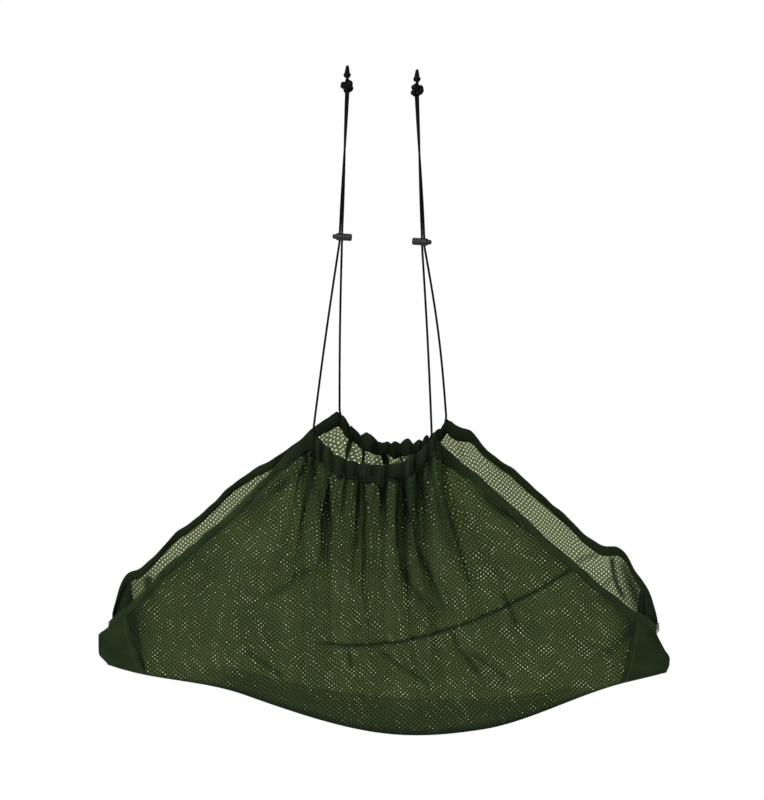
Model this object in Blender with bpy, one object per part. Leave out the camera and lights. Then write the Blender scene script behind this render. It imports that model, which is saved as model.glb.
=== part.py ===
"""Hanging mesh sling with two drawcords, two barrel cord locks and knotted hanging ends.

Metres, +Z up, mouth at the top, front towards -Y. The origin is midway between the two
cord eyes, just under the knots, which is where the sling hangs from.
"""
import math

import bmesh
import bpy
from mathutils import Matrix, Vector

# ---- cords, knots and locks ----
CORD_R = 0.0015
STRAND_OFFSET = 0.00165
EYE_X = 0.048
EYE_Z = 0.0008
KNOT_R = 0.0082
LOCK_X = 0.057
LOCK_Z = -0.198
BARREL_R = 0.00485
BORE_R = 0.00365
BARREL_MOUTH = 0.006
BARREL_END = 0.0146
BORE_END = 0.0132
PLUNGER_R = 0.0033
PLUNGER_TIP = 0.011
PLUNGER_INNER = 0.0074
PRESS_TRAVEL = 0.0035
CORD_HOLE_X = 0.0037
CORD_HOLE_Y = 0.00195
SPRING_R = 0.0024
SPRING_WIRE_R = 0.00025
SPRING_TURNS = 3
SPRING_GAP = 0.0001

# ---- bag outline ----
JOIN_X = 0.380
JOIN_Z = -0.7256
JOIN_DEPTH = 0.006
GUSSET_X = 0.360
CORNER_X = 0.3985
BOTTOM_Z = -0.8865
BOTTOM_CENTRE_X = 0.020
BOTTOM_SLOPE = 0.34
BOTTOM_ROUND = 0.13
LEFT_SAG = 0.031
LEFT_SAG_FROM = 0.19
RIGHT_HITCH = 0.0235
RIGHT_HITCH_FROM = 0.14
TILT_RUN = 0.20
SIDE_LIFT = 0.011
LEFT_DROP = 0.015
RIGHT_RISE = 0.012
JOIN_HEIGHT = 0.013
HEM_WALL = 0.0009
NECK_THICK = 0.0125
WING_THICK = 0.005
PANEL_THICK = 0.0014
GAP = 0.0004
GUSSET_GAP = 0.005
# How a corner patch fills out down its height, left and right: start, where full, low round-off.
CORNER_START = {-1: 0.34, 1: 0.42}
CORNER_FULL = {-1: 0.30, 1: 0.72}
CORNER_ROUND = {-1: 0.20, 1: 0.05}
SEAM_HALF = 0.0009
NECK_SHARE = 0.30
OPENING_HALF = 0.0095
CORNER_CELLS = 3
PANEL_ROWS = 7
TACK_THICK = 0.0024
TACK_GAP = 0.0012
TACK_HALF = 0.0085
TACK_LOW = 0.0145
TACK_HIGH = 0.003

# Round a hem's section: share of the half thickness, share of the height down from the top.
HEM_SECTION = [(0, 0.0), (0.42, 0.035), (1, 0.2), (1, 0.55), (0.8, 0.88), (0, 1.0),
               (-0.8, 0.88), (-1, 0.55), (-1, 0.2), (-0.42, 0.035)]
HEM_TOP_CELLS = (8, 9, 0, 1)

# Height and radius down the whipped tail, from just above the knot to the tip.
TAIL_PROFILE = [(0.0180, 0.0022), (0.0192, 0.0029), (0.0205, 0.0024), (0.0225, 0.0042),
                (0.0255, 0.0047), (0.0282, 0.0040), (0.0292, 0.0025), (0.0305, 0.0031),
                (0.0318, 0.0023), (0.0331, 0.0028), (0.0344, 0.0019), (0.0362, 0.0021),
                (0.0382, 0.0009)]

# ---- cord route ----
TWIST_STEPS = 18
LOCK_STRAIGHT = 0.007
LEG_STEPS = 6
INSIDE_STEPS = 24

SIDES = {
    "front": {"sign": -1, "exit_x": 0.083, "exit_z": -0.453, "low_z": -0.493,
              "exit_depth": 0.050, "mid_depth": 0.060, "bow": -0.008,
              "neck_height": 0.0255, "wing_height": 0.0130, "waves": []},
    "back": {"sign": 1, "exit_x": 0.0755, "exit_z": -0.455, "low_z": -0.496,
             "exit_depth": 0.058, "mid_depth": 0.070, "bow": 0.040,
             "neck_height": 0.0190, "wing_height": 0.0120,
             "waves": [(-0.366, 0.018, 0.012), (-0.205, 0.035, 0.012),
                       (0.112, 0.012, 0.009), (0.330, 0.024, 0.025)]},
}


def smooth(t):
    t = min(max(t, 0.0), 1.0)
    return t * t * (3 - 2 * t)


def lift(x):
    """The right wing hangs a little higher than the left, most of all at the corners."""
    rise = math.copysign(SIDE_LIFT, x) * smooth((abs(x) - 0.083) / 0.12)
    if x < 0:
        return rise - LEFT_DROP * smooth((-x - 0.28) / 0.07)
    return rise + RIGHT_RISE * smooth((x - 0.34) / 0.036)


def hem_height(side, x):
    """Height of a hem's band: full round the gathered neck, rolled narrower on the wings."""
    s = SIDES[side]
    a = abs(x)
    neck = s["neck_height"]
    height = neck + (s["wing_height"] - neck) * smooth((a - s["exit_x"]) / 0.07)
    return height + (JOIN_HEIGHT - height) * smooth((a - 0.33) / 0.04)


def hem_top(side, x):
    """Point on the top edge of a hem at the width x."""
    s = SIDES[side]
    a = abs(x)
    if a <= s["exit_x"]:
        share = a / s["exit_x"]
        z = s["low_z"] + (s["exit_z"] - s["low_z"]) * share ** 3
        depth = s["mid_depth"] + (s["exit_depth"] - s["mid_depth"]) * share ** 2
        gather = 1 - smooth((share - 0.72) / 0.2)
        z += 0.0012 * gather * math.sin(x * 520)
        depth += 0.0016 * gather * math.sin(x * 430 + 1)
    else:
        t = min((a - s["exit_x"]) / (JOIN_X - s["exit_x"]), 1.0)
        z = s["exit_z"] + (JOIN_Z - s["exit_z"]) * t
        if s["bow"] > 0:
            z += s["bow"] * t ** 0.8 * (1 - t ** 28)
        else:
            z += s["bow"] * math.sin(math.pi * t) ** 2
        for middle, width, rise in s["waves"]:
            z += rise * math.exp(-((x - middle) / width) ** 2)
        depth = s["exit_depth"] + (JOIN_DEPTH - s["exit_depth"]) * t ** 0.9
    return Vector((x, s["sign"] * depth, z + lift(x)))


def bottom_z(x):
    """Height of the bottom seam: a round belly that runs up to the corners, right one higher."""
    off = x - BOTTOM_CENTRE_X
    rise = BOTTOM_SLOPE * (math.sqrt(off * off + BOTTOM_ROUND ** 2) - BOTTOM_ROUND)
    tilt = RIGHT_HITCH * smooth((x - RIGHT_HITCH_FROM) / TILT_RUN)
    tilt -= LEFT_SAG * smooth((-x - LEFT_SAG_FROM) / TILT_RUN)
    return BOTTOM_Z + rise + tilt


def panel_point(side, u, v):
    """Mid-surface of a panel: u across (-1 to 1), v from the hem (0) to the bottom seam (1)."""
    s = SIDES[side]
    a = abs(u)
    if a < NECK_SHARE:
        top_x = s["exit_x"] * a / NECK_SHARE
    else:
        top_x = s["exit_x"] + (GUSSET_X - s["exit_x"]) * (a - NECK_SHARE) / (1 - NECK_SHARE)
    top_x = math.copysign(top_x, u)
    top = hem_top(side, top_x)
    top.z -= hem_height(side, top_x) + GAP
    low_x = GUSSET_X * u
    x = top_x + (low_x - top_x) * v
    z = top.z + (bottom_z(low_x) - top.z) * v
    fall = math.cos(math.pi / 2 * v)
    belly = 0.012 * math.sin(math.pi * v) * (1 - a * a)
    depth = SEAM_HALF + (abs(top.y) - SEAM_HALF) * fall + belly
    return Vector((x, s["sign"] * depth, z))


def material(name, colour, roughness, metallic=0.0):
    made = bpy.data.materials.new(name)
    made.use_nodes = True
    surface = made.node_tree.nodes["Principled BSDF"]
    surface.inputs["Base Color"].default_value = (*colour, 1)
    surface.inputs["Roughness"].default_value = roughness
    surface.inputs["Metallic"].default_value = metallic
    return made


def add_object(name, verts, faces, finish=None, closed=True):
    """Mesh object, smooth shaded; a closed one has its faces turned to point out."""
    mesh = bpy.data.meshes.new(name)
    mesh.from_pydata([tuple(v) for v in verts], [], faces)
    bm = bmesh.new()
    bm.from_mesh(mesh)
    bmesh.ops.delete(bm, geom=[v for v in bm.verts if not v.link_faces], context="VERTS")
    if closed:
        bmesh.ops.recalc_face_normals(bm, faces=bm.faces)
    bm.to_mesh(mesh)
    bm.free()
    if finish:
        mesh.materials.append(finish)
    mesh.shade_smooth()
    mesh.set_sharp_from_angle(angle=math.radians(40))
    obj = bpy.data.objects.new(name, mesh)
    bpy.context.scene.collection.objects.link(obj)
    return obj


def empty(name, place):
    """Marks a joint's axis; the pieces that move about it are its children."""
    obj = bpy.data.objects.new(name, None)
    obj.location = place
    bpy.context.scene.collection.objects.link(obj)
    return obj


def carry(parent, *pieces):
    """Hang pieces on an empty, with their meshes kept where they are in the world."""
    for piece in pieces:
        piece.data.transform(Matrix.Translation(-parent.location))
        piece.parent = parent


def turned(name, points, radii, sides, finish=None):
    """Closed round solid along a straight run of points, with a radius at each."""
    along = (points[-1] - points[0]).normalized()
    across = along.orthogonal().normalized()
    other = along.cross(across)
    verts = []
    faces = []
    for p, r in zip(points, radii):
        for j in range(sides):
            t = 2 * math.pi * j / sides
            verts.append(p + (across * math.cos(t) + other * math.sin(t)) * r)
    for i in range(len(points) - 1):
        for j in range(sides):
            k = (j + 1) % sides
            faces.append((i * sides + j, i * sides + k, (i + 1) * sides + k, (i + 1) * sides + j))
    faces.append(tuple(range(sides)))
    faces.append(tuple(range((len(points) - 1) * sides, len(points) * sides)))
    return add_object(name, verts, faces, finish)


def wire(name, points, radius, finish):
    """Round cord or wire along a list of points."""
    curve = bpy.data.curves.new(name, "CURVE")
    curve.dimensions = "3D"
    curve.bevel_depth = radius
    curve.bevel_resolution = 2
    curve.use_fill_caps = True
    spline = curve.splines.new("POLY")
    spline.points.add(len(points) - 1)
    for knot, p in zip(spline.points, points):
        knot.co = (*p, 1)
    curve.materials.append(finish)
    obj = bpy.data.objects.new(name, curve)
    bpy.context.scene.collection.objects.link(obj)
    return obj


def cloth(name, rows, thickness, finish, offset=0.0, ring=False, missing=()):
    """Sheet through a grid of points, thickened; cells in missing are left open."""
    cols = len(rows[0])
    spans = cols if ring else cols - 1
    faces = []
    for i in range(len(rows) - 1):
        for j in range(spans):
            if (i, j) in missing:
                continue
            k = (j + 1) % cols
            faces.append((i * cols + j, (i + 1) * cols + j, (i + 1) * cols + k, i * cols + k))
    obj = add_object(name, [p for row in rows for p in row], faces, finish, closed=False)
    solid = obj.modifiers.new("cloth", "SOLIDIFY")
    solid.thickness = thickness
    solid.offset = offset
    return obj


def cut(obj, cutter):
    """Take a guide solid out of an object."""
    cutter.hide_render = True
    cutter.display_type = "WIRE"
    mod = obj.modifiers.new(cutter.name, "BOOLEAN")
    mod.operation = "DIFFERENCE"
    mod.solver = "EXACT"
    mod.object = cutter


def box(name, low, high, finish=None):
    corners = [Vector((x, y, z)) for x in (low[0], high[0]) for y in (low[1], high[1])
               for z in (low[2], high[2])]
    faces = [(0, 1, 3, 2), (4, 6, 7, 5), (0, 4, 5, 1), (2, 3, 7, 6), (0, 2, 6, 4), (1, 5, 7, 3)]
    return add_object(name, corners, faces, finish)


def hem_stations(side):
    """Widths of the stations along a hem, closer together over the gathered neck."""
    exit_x = SIDES[side]["exit_x"]
    edges = [exit_x - OPENING_HALF, exit_x - OPENING_HALF / 2, exit_x,
             exit_x + OPENING_HALF / 2, exit_x + OPENING_HALF]
    neck = [edges[0] * i / 16 for i in range(16)]
    wing = [edges[-1] + (GUSSET_X - edges[-1]) * i / 16 for i in range(1, 17)]
    corner = [GUSSET_X + (JOIN_X - GUSSET_X) * i / CORNER_CELLS for i in range(1, CORNER_CELLS + 1)]
    right = neck + edges + wing + corner
    return [-x for x in reversed(right[1:])] + right


def build_hem(side):
    """Folded casing with a channel for the cord and an opening at the top at each exit."""
    exit_x = SIDES[side]["exit_x"]
    stations = hem_stations(side)
    rows = []
    for x in stations:
        here = hem_top(side, x)
        height = hem_height(side, x)
        step = 0.0006
        along = hem_top(side, x + step) - hem_top(side, x - step)
        across = Vector((-along.y, along.x, 0)).normalized()
        neck = 1 - smooth((abs(x) - exit_x) / 0.03)
        half = (WING_THICK + (NECK_THICK - WING_THICK) * neck) / 2
        rows.append([here + across * (n * half) - Vector((0, 0, d * height))
                     for n, d in HEM_SECTION])
    missing = set()
    for i in range(len(stations) - 1):
        middle = (abs(stations[i]) + abs(stations[i + 1])) / 2
        if abs(middle - exit_x) < OPENING_HALF:
            missing.update((i, j) for j in HEM_TOP_CELLS)
    return cloth(side + "_hem", rows, HEM_WALL, PLAIN_CLOTH, -1.0, True, missing)


def panel_share(side, x):
    """Panel coordinate u of the point on the hem at the width x."""
    exit_x = SIDES[side]["exit_x"]
    a = abs(x)
    if a < exit_x:
        return NECK_SHARE * x / exit_x
    u = NECK_SHARE + (1 - NECK_SHARE) * (a - exit_x) / (GUSSET_X - exit_x)
    return math.copysign(u, x)


def build_panel(side):
    """Mesh net panel, a plain thin sheet from the hem to the bottom seam."""
    shares = [panel_share(side, x) for x in hem_stations(side)[CORNER_CELLS:-CORNER_CELLS]]
    rows = [[panel_point(side, u, j / PANEL_ROWS) for j in range(PANEL_ROWS + 1)] for u in shares]
    return cloth(side + "_panel", rows, PANEL_THICK, MESH_NET)


def build_gusset(name, way):
    """Plain cloth patch folded round a lower corner, from the front panel to the back panel."""
    turns = 16
    down = 8
    rows = []
    for i in range(turns + 1):
        angle = -math.pi / 2 + math.pi * i / turns
        side = "front" if angle < 0 else "back"
        row = []
        for j in range(down + 1):
            v = j / down
            edge_x = GUSSET_X + GAP
            narrow = 1 - CORNER_START[way] * smooth((CORNER_FULL[way] - v) / CORNER_FULL[way])
            narrow -= CORNER_ROUND[way] * smooth((v - 0.75) / 0.25) ** 2
            x = edge_x + (CORNER_X - edge_x) * narrow * math.cos(angle)
            front = panel_point("front", way, v)
            back = panel_point("back", way, v)
            y = front.y + (back.y - front.y) * (1 + math.sin(angle)) / 2
            hem_x = way * min(x, JOIN_X)
            tops = {s: hem_top(s, hem_x).z - hem_height(s, hem_x) for s in SIDES}
            top = (tops[side] if x < JOIN_X else min(tops.values())) - GUSSET_GAP
            row.append(Vector((way * x, y, top + (bottom_z(way * x) - top) * v)))
        rows.append(row)
    return cloth(name, rows, PANEL_THICK, PLAIN_CLOTH)


def cord_leg(side, way):
    """Half of a cord's free run: down from the knot, through the lock, to the hem's opening."""
    lead = 1 if side == "front" else -1
    points = []
    for i in range(TWIST_STEPS + 1):
        z = EYE_Z + (LOCK_Z + LOCK_STRAIGHT - EYE_Z) * i / TWIST_STEPS
        turn = math.pi * i / TWIST_STEPS
        x = way * (EYE_X + (LOCK_X - EYE_X) * max(z / LOCK_Z, 0))
        points.append(Vector((x + lead * STRAND_OFFSET * math.cos(turn),
                              -lead * STRAND_OFFSET * math.sin(turn), z)))
    lock_x = way * LOCK_X - lead * STRAND_OFFSET
    points.append(Vector((lock_x, 0, LOCK_Z)))
    start = Vector((lock_x, 0, LOCK_Z - LOCK_STRAIGHT))
    leave = hem_top(side, way * (SIDES[side]["exit_x"] - 0.0012)) + Vector((0, 0, 0.003))
    points += [start.lerp(leave, i / LEG_STEPS) for i in range(LEG_STEPS + 1)]
    return points


def cord_points(side):
    """Centre line of one drawcord, from the left knot through the hem to the right knot."""
    s = SIDES[side]
    reach = s["exit_x"] - 0.0035
    inside = []
    for i in range(INSIDE_STEPS + 1):
        x = -reach + 2 * reach * i / INSIDE_STEPS
        share = abs(x) / s["exit_x"]
        z = s["low_z"] + (s["exit_z"] - s["low_z"]) * share ** 3
        depth = s["mid_depth"] + (s["exit_depth"] - s["mid_depth"]) * share ** 2
        drop = 0.0075 - 0.0035 * smooth((share - 0.8) / 0.2)
        inside.append(Vector((x, s["sign"] * depth, z - drop)))
    return cord_leg(side, -1) + inside + list(reversed(cord_leg(side, 1)))


def build_knot(name, way):
    """Overhand knot: a ball with the cord's turns showing as soft ridges."""
    rings = 13
    segments = 20
    verts = []
    faces = []
    centre = Vector((way * EYE_X, 0, EYE_Z + GAP + KNOT_R))
    for i in range(1, rings):
        lat = math.pi * i / rings
        for j in range(segments):
            lon = 2 * math.pi * j / segments
            swell = math.cos(3 * lat + 2 * math.sin(lon)) * math.sin(lat)
            r = KNOT_R * (0.95 + 0.05 * swell)
            verts.append(centre + r * Vector((0.97 * math.sin(lat) * math.cos(lon),
                                              0.9 * math.sin(lat) * math.sin(lon),
                                              math.cos(lat))))
    for i in range(rings - 2):
        for j in range(segments):
            k = (j + 1) % segments
            a = i * segments
            b = a + segments
            faces.append((a + j, a + k, b + k, b + j))
    last = (rings - 2) * segments
    faces.append(tuple(range(segments)))
    faces.append(tuple(range(last, last + segments)))
    return add_object(name, verts, faces, CORD_BLACK)


def build_tail(name, way):
    """Cord ends above the knot: a second small knot and a whipped, tapering tip."""
    points = [Vector((way * EYE_X, 0, z)) for z, _ in TAIL_PROFILE]
    return turned(name, points, [r for _, r in TAIL_PROFILE], 14, CORD_BLACK)


def build_lock(label, way):
    """Barrel lock: hollow barrel, sprung plunger pushed in from the outer end, and its spring."""
    centre = Vector((way * LOCK_X, 0, LOCK_Z))

    def along(d):
        return centre + Vector((way * d, 0, 0))

    def slot(name, start, end):
        xs = sorted((along(start).x, along(end).x))
        return box(name, (xs[0], -CORD_HOLE_Y, LOCK_Z - 0.01), (xs[1], CORD_HOLE_Y, LOCK_Z + 0.01))

    edge = 0.0006
    stations = [-BARREL_MOUTH, -BARREL_MOUTH + edge, BARREL_END - edge, BARREL_END]
    barrel = turned(label + "_lock_barrel", [along(-d) for d in stations],
                    [BARREL_R - edge, BARREL_R, BARREL_R, BARREL_R - edge], 36, LOCK_PLASTIC)
    bore = turned(label + "_bore_guide", [along(BARREL_MOUTH + 0.002), along(-BORE_END)],
                  [BORE_R, BORE_R], 36)
    hole = slot(label + "_hole_guide", -CORD_HOLE_X, CORD_HOLE_X)
    cut(barrel, bore)
    cut(barrel, hole)

    stations = [PLUNGER_TIP, PLUNGER_TIP - edge, PLUNGER_TIP - 0.0016, -PLUNGER_INNER]
    plunger = turned(label + "_lock_plunger", [along(d) for d in stations],
                     [0.0021, 0.0029, PLUNGER_R, PLUNGER_R], 30, LOCK_PLASTIC)
    window = slot(label + "_window_guide", CORD_HOLE_X + PRESS_TRAVEL, -CORD_HOLE_X)
    cut(plunger, window)

    coil = []
    first = PLUNGER_INNER + SPRING_GAP + SPRING_WIRE_R
    last = BORE_END - SPRING_GAP - SPRING_WIRE_R
    per_turn = 12
    steps = SPRING_TURNS * per_turn
    for i in range(steps + 1):
        turn = 2 * math.pi * i / per_turn
        round_axis = Vector((0, math.cos(turn), math.sin(turn))) * SPRING_R
        coil.append(along(-first - (last - first) * i / steps) + round_axis)
    spring = wire(label + "_lock_spring", coil, SPRING_WIRE_R, SPRING_STEEL)
    carry(empty(label + "_lock_axis", centre), barrel, plunger, spring, bore, hole, window)


def build_tack(name, way):
    """Bar of thread that holds the lower ends of the two hems together."""
    z = JOIN_Z + lift(way * JOIN_X)
    xs = sorted((way * (JOIN_X + TACK_GAP), way * (JOIN_X + TACK_GAP + TACK_THICK)))
    return box(name, (xs[0], -TACK_HALF, z - TACK_LOW), (xs[1], TACK_HALF, z - TACK_HIGH), THREAD)


for old in list(bpy.data.objects):
    bpy.data.objects.remove(old)

MESH_NET = material("mesh_net", (0.045, 0.060, 0.022), 0.85)
PLAIN_CLOTH = material("plain_cloth", (0.016, 0.026, 0.013), 0.9)
THREAD = material("thread", (0.6, 0.6, 0.56), 0.7)
CORD_BLACK = material("cord", (0.008, 0.008, 0.009), 0.75)
LOCK_PLASTIC = material("lock_plastic", (0.018, 0.018, 0.018), 0.45)
SPRING_STEEL = material("spring_steel", (0.55, 0.55, 0.55), 0.3, 1.0)

hems = {side: build_hem(side) for side in SIDES}
panels = {side: build_panel(side) for side in SIDES}
for side in SIDES:
    wire(side + "_cord", cord_points(side), CORD_R, CORD_BLACK)
for label, direction in (("left", -1), ("right", 1)):
    build_gusset(label + "_gusset", direction)
    build_tack(label + "_tack", direction)
    build_knot(label + "_knot", direction)
    build_tail(label + "_tail", direction)
    build_lock(label, direction)
carry(empty("mouth_axis", (0, 0, LOCK_Z)), hems["front"], panels["front"])
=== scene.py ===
"""Looks for the hanging mesh sling: knitted net, gathered hems, braided cords, knots and cord locks."""
import math

import bmesh
import bpy
import numpy as np
from mathutils import Matrix, Vector


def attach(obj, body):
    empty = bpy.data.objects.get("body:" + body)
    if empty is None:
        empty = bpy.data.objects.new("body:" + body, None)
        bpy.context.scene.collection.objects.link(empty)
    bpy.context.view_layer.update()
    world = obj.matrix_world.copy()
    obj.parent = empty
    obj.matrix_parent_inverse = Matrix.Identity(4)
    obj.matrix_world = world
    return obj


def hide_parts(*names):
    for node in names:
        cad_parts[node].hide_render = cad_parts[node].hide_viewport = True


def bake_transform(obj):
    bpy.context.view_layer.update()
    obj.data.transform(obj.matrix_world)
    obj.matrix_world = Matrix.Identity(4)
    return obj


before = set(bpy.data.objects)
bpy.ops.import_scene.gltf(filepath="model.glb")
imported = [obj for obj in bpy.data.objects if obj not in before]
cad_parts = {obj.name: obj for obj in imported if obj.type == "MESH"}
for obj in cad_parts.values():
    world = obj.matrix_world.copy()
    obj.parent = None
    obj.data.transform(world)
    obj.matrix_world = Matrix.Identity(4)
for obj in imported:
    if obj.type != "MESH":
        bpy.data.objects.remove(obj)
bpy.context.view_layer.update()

# ---- view ----
VIEW_AZIMUTH = math.radians(14.5)
VIEW_ELEVATION = math.radians(14.5)
LENS = 480.0
SENSOR = 36.0
FRAME_HEIGHT = 1.0664
AIM_DOWN = 0.4066
FLOOR_Z = -1.45
AMBIENT = 0.38

# ---- cords, knots and locks, as in the CAD ----
CORD_R = 0.0015
STRAND_OFFSET = 0.00165
EYE_X = 0.048
EYE_Z = 0.0008
KNOT_R = 0.0082
LOCK_X = 0.057
LOCK_Z = -0.198
LOCK_STRAIGHT = 0.007
# Spring behind a lock's plunger: coil and wire radius, and its ends from the lock's middle.
SPRING_R = 0.0024
SPRING_WIRE_R = 0.00025
SPRING_TURNS = 3
SPRING_OUTER = 0.00775
SPRING_INNER = 0.01285

# ---- bag outline, as in the CAD ----
JOIN_X = 0.380
JOIN_Z = -0.7256
JOIN_DEPTH = 0.006
GUSSET_X = 0.360
CORNER_X = 0.3985
BOTTOM_Z = -0.8865
BOTTOM_CENTRE_X = 0.020
BOTTOM_SLOPE = 0.34
BOTTOM_ROUND = 0.13
LEFT_SAG = 0.031
LEFT_SAG_FROM = 0.19
RIGHT_HITCH = 0.0235
RIGHT_HITCH_FROM = 0.14
TILT_RUN = 0.20
SIDE_LIFT = 0.011
LEFT_DROP = 0.015
RIGHT_RISE = 0.012
JOIN_HEIGHT = 0.013
CORNER_START = {-1: 0.34, 1: 0.42}
CORNER_FULL = {-1: 0.30, 1: 0.72}
CORNER_ROUND = {-1: 0.20, 1: 0.05}
NECK_THICK = 0.0125
WING_THICK = 0.005
NECK_SHARE = 0.30
BELLY = 0.012

# ---- looks only, with no counterpart in the CAD ----
# How much closer together the twisted strands run than in the CAD.
STRAND_SQUEEZE = 0.00022
# How far the inner edge of a corner patch slants in by the bottom seam.
PATCH_SLANT = 0.024
# Share of the front net's painted shade and bunching below the hem that the back net keeps under its
# hem.
BACK_HEM_SHADE = 0.10
# How much painted shade darkens the front net's left half and draws its holes closer.
LEFT_SHADE = 0.06
NET_CELLS = (560, 176)
HEM_CELLS = (1000, 26)
PATCH_CELLS = (90, 70)

SIDES = {
    "front": {"sign": -1, "exit_x": 0.083, "exit_z": -0.453, "low_z": -0.493,
              "exit_depth": 0.050, "mid_depth": 0.060, "bow": -0.008, "seed": 1.0,
              "neck_height": 0.0255, "wing_height": 0.0130, "waves": []},
    "back": {"sign": 1, "exit_x": 0.0755, "exit_z": -0.455, "low_z": -0.496,
             "exit_depth": 0.058, "mid_depth": 0.070, "bow": 0.040, "seed": 4.7,
             "neck_height": 0.0190, "wing_height": 0.0120,
             "waves": [(-0.366, 0.018, 0.012), (-0.205, 0.035, 0.012),
                       (0.112, 0.012, 0.009), (0.330, 0.024, 0.025)]},
}
# Folded-over pleats below the neck: place on the hem, width, strength, reach down the cloth.
FOLDS = {
    "front": [(-0.098, 0.0070, 2.5, 0.090), (-0.076, 0.0140, 2.5, 0.130), (-0.052, 0.0070, 2.8, 0.190),
              (-0.035, 0.0045, 2.4, 0.060), (-0.019, 0.0100, 2.5, 0.090), (-0.006, 0.0065, 3.0, 0.200),
              (0.008, 0.0040, 2.3, 0.050), (0.030, 0.0110, 2.7, 0.140), (0.050, 0.0110, 2.7, 0.150),
              (0.066, 0.0050, 2.5, 0.080), (0.092, 0.0080, 2.7, 0.160)],
    "back": [(-0.060, 0.0055, 2.6, 0.110), (-0.042, 0.0050, 2.6, 0.130), (-0.014, 0.0075, 2.8, 0.120),
             (0.006, 0.0060, 2.6, 0.090), (0.024, 0.0085, 2.8, 0.150), (0.046, 0.0065, 2.6, 0.100)],
}
# Long creases in the cloth: points along each (across, up), half width and how dark the painted shade
# along it is.
CREASES = {
    "front": [
        ([(0.088, -0.522), (0.104, -0.590), (0.143, -0.680)], 0.0055, 0.60),
        ([(0.033, -0.531), (0.032, -0.600), (0.055, -0.665), (0.107, -0.718)], 0.0060, 0.50),
        ([(0.061, -0.584), (0.084, -0.646), (0.102, -0.709)], 0.0050, 0.50),
        ([(0.107, -0.718), (0.116, -0.750), (0.148, -0.800)], 0.0040, 0.60),
        ([(-0.036, -0.755), (-0.033, -0.790)], 0.0030, 0.70),
        ([(0.005, -0.757), (0.085, -0.815)], 0.0036, 0.60),
        ([(0.130, -0.754), (0.185, -0.796)], 0.0036, 0.55),
        ([(0.175, -0.663), (0.198, -0.722)], 0.0036, 0.60),
        ([(-0.187, -0.775), (-0.127, -0.820)], 0.0045, 0.50),
        ([(0.365, -0.700), (0.304, -0.760)], 0.0080, 0.40),
        ([(-0.082, -0.644), (-0.160, -0.704)], 0.0060, 0.40),
        ([(-0.110, -0.520), (-0.185, -0.585)], 0.0060, 0.35),
        ([(0.138, -0.524), (0.166, -0.549), (0.258, -0.603)], 0.0050, 0.50),
    ],
    "back": [
        ([(0.314, -0.616), (0.316, -0.640), (0.322, -0.660), (0.336, -0.684)], 0.0036, 1.00),
        ([(0.326, -0.622), (0.345, -0.665), (0.362, -0.700)], 0.0090, 0.50),
        ([(0.261, -0.635), (0.299, -0.616)], 0.0040, 0.50),
        ([(0.300, -0.665), (0.318, -0.647)], 0.0036, 0.40),
        ([(-0.331, -0.690), (-0.329, -0.724)], 0.0055, 1.00),
    ],
}
# How far each net's rows of holes are turned in the cloth.
GRAIN = {"front": math.radians(3.0), "back": math.radians(-9.0)}


# ---------------------------------------------------------------- shape formulas
def smooth(t):
    """Eased step from 0 to 1."""
    t = np.clip(t, 0.0, 1.0)
    return t * t * (3 - 2 * t)


def lift(x):
    """The right wing hangs a little higher than the left, most of all at the corners."""
    x = np.asarray(x, float)
    rise = np.sign(x) * SIDE_LIFT * smooth((np.abs(x) - 0.083) / 0.12)
    left = LEFT_DROP * smooth((-x - 0.28) / 0.07)
    right = RIGHT_RISE * smooth((x - 0.34) / 0.036)
    return rise - left + right


def hem_height(side, x):
    """Height of a hem's band: full round the gathered neck, rolled narrower on the wings."""
    s = SIDES[side]
    a = np.abs(x)
    neck = s["neck_height"]
    height = neck + (s["wing_height"] - neck) * smooth((a - s["exit_x"]) / 0.07)
    return height + (JOIN_HEIGHT - height) * smooth((a - 0.33) / 0.04)


def hem_top(side, x):
    """Points on the top edge of a hem at the widths x, without its small ruffles."""
    s = SIDES[side]
    x = np.asarray(x, float)
    a = np.abs(x)
    share = np.minimum(a / s["exit_x"], 1)
    neck_z = s["low_z"] + (s["exit_z"] - s["low_z"]) * share ** 3
    neck_depth = s["mid_depth"] + (s["exit_depth"] - s["mid_depth"]) * share ** 2
    t = np.clip((a - s["exit_x"]) / (JOIN_X - s["exit_x"]), 0, 1)
    wing_z = s["exit_z"] + (JOIN_Z - s["exit_z"]) * t
    if s["bow"] > 0:
        wing_z = wing_z + s["bow"] * t ** 0.8 * (1 - t ** 28)
    else:
        wing_z = wing_z + s["bow"] * np.sin(np.pi * t) ** 2
    for middle, width, rise in s["waves"]:
        wing_z = wing_z + rise * np.exp(-((x - middle) / width) ** 2)
    wing_depth = s["exit_depth"] + (JOIN_DEPTH - s["exit_depth"]) * t ** 0.9
    in_neck = a <= s["exit_x"]
    z = np.where(in_neck, neck_z, wing_z) + lift(x)
    depth = np.where(in_neck, neck_depth, wing_depth)
    return np.stack([x, s["sign"] * depth, z], axis=-1)


def bottom_z(x):
    """Height of the bottom seam: a round belly that runs up to the corners, right one higher."""
    off = x - BOTTOM_CENTRE_X
    rise = BOTTOM_SLOPE * (np.sqrt(off * off + BOTTOM_ROUND ** 2) - BOTTOM_ROUND)
    tilt = RIGHT_HITCH * smooth((x - RIGHT_HITCH_FROM) / TILT_RUN)
    tilt -= LEFT_SAG * smooth((-x - LEFT_SAG_FROM) / TILT_RUN)
    return BOTTOM_Z + rise + tilt


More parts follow.
